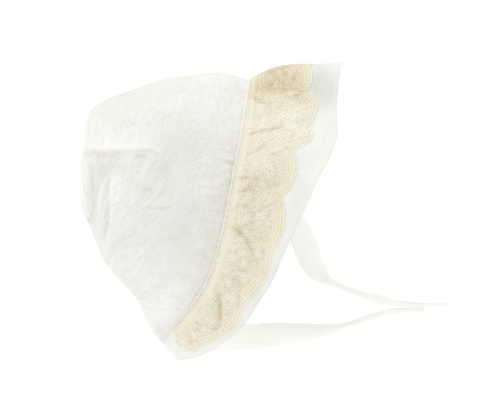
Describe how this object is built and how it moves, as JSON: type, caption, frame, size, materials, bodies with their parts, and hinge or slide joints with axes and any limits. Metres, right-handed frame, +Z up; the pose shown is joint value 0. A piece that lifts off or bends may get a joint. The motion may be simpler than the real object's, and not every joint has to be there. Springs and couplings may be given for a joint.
{
  "type": "baby sun bonnet",
  "caption": "Gathered white cotton baby bonnet with a flared brim, scalloped ecru lace trim, corded seam and ribbon ties, lying on its side.",
  "frame": {"origin": "middle of the bonnet's box, ties left out, on the surface that it lies on", "axes": "+X out of the face opening, +Y to the top of the head, +Z up from the surface"},
  "size_m": [0.227, 0.1833, 0.0949],
  "materials": {
    "crown_cotton": "soft crinkled white cotton",
    "brim_cotton": "plain white cotton",
    "piping_cotton": "white cotton covered cord",
    "lace": "ecru cotton lace",
    "ribbon": "thin white satin ribbon"
  },
  "bodies": {
    "root": {"crown": "crown_cotton", "brim": "brim_cotton", "lace_trim": "lace", "piping": "piping_cotton", "tie_near": "ribbon", "tie_far": "ribbon"}
  },
  "joints": []
}
